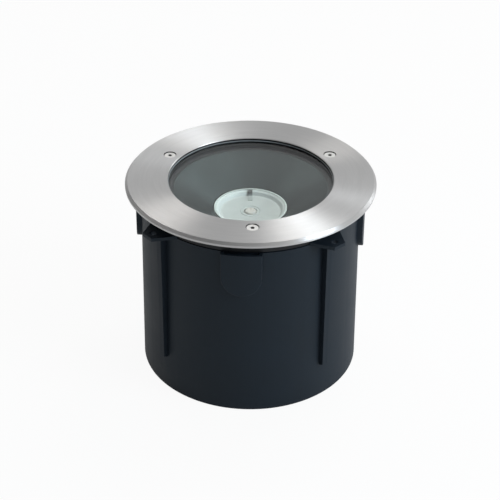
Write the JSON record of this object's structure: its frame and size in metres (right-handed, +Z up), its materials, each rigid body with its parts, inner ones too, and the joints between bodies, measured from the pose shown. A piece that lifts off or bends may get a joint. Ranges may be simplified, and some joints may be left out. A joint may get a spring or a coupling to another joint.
{
  "type": "in ground well light",
  "caption": "Recessed round ground light: brushed ring over clear glass, dark cone and tilting lamp head, sealed pot in a black ribbed ground sleeve.",
  "frame": {"origin": "middle of the sleeve's foot, on the ground-side plane", "axes": "+Z up along the light's own axis, out of the glass; -Y towards the front faceplate screw; +X to the right"},
  "size_m": [0.26, 0.26, 0.212],
  "materials": {
    "sleeve_plastic": "moulded, fine satin",
    "faceplate_steel": "fine brushed",
    "screw_steel": "stainless, plain",
    "insert_brass": "turned",
    "clear_glass": "polished, toughened",
    "gasket_rubber": "silicone, matt grey",
    "housing_black": "powder coated",
    "cone_grey": "dark anodised, satin",
    "carrier_black": "powder coated",
    "plated_steel": "zinc plated",
    "nylon_white": "nylon",
    "cast_aluminium": "die cast",
    "pad_silicone": "soft silicone",
    "board_white": "white solder mask",
    "holder_plastic": "moulded",
    "dome_phosphor": "warm white silicone",
    "bowl_white": "pale satin",
    "bezel_bright": "polished",
    "spring_steel": "dark spring steel",
    "driver_case": "moulded",
    "terminal_grey": "moulded",
    "gland_nylon": "nylon",
    "black_rubber": "rubber"
  },
  "bodies": {
    "housing": {"installation_sleeve": "sleeve_plastic", "faceplate": "faceplate_steel", "faceplate_screws": "screw_steel", "threaded_inserts": "insert_brass", "glass_lens": "clear_glass", "glass_gasket": "gasket_rubber", "lamp_housing": "housing_black", "antiglare_cone": "cone_grey", "cone_carrier": "carrier_black", "deck_plate": "plated_steel", "deck_screws": "plated_steel", "pivot_bolt": "plated_steel", "pivot_washer_lower": "nylon_white", "pivot_washer_upper": "plated_steel", "pivot_nut": "plated_steel", "led_driver": "driver_case", "driver_screws": "plated_steel", "terminal_block": "terminal_grey", "terminal_screws": "plated_steel", "earth_tag": "plated_steel", "earth_screw": "insert_brass", "gland_bodies": "gland_nylon", "gland_washers": "black_rubber", "gland_locknuts": "gland_nylon", "gland_seals": "black_rubber", "gland_nuts": "gland_nylon", "breather_valve": "gland_nylon"},
    "yoke": {"tilt_yoke": "plated_steel"},
    "lamp_head": {"heat_sink": "cast_aluminium", "thermal_pad": "pad_silicone", "led_board": "board_white", "board_holder": "holder_plastic", "led_dome": "dome_phosphor", "optic_bowl": "bowl_white", "bezel_ring": "bezel_bright", "retaining_clip": "spring_steel", "tilt_screws": "plated_steel", "tilt_washers": "nylon_white"}
  },
  "joints": [
    {"name": "pan", "type": "hinge", "parent": "housing", "child": "yoke", "pos_m": [0, 0, 0.1028], "axis": [0, 0, 1], "range_deg": [-175, 175]},
    {"name": "tilt", "type": "hinge", "parent": "yoke", "child": "lamp_head", "pos_m": [0, 0, 0.158], "axis": [1, 0, 0], "range_deg": [-15, 15]}
  ]
}
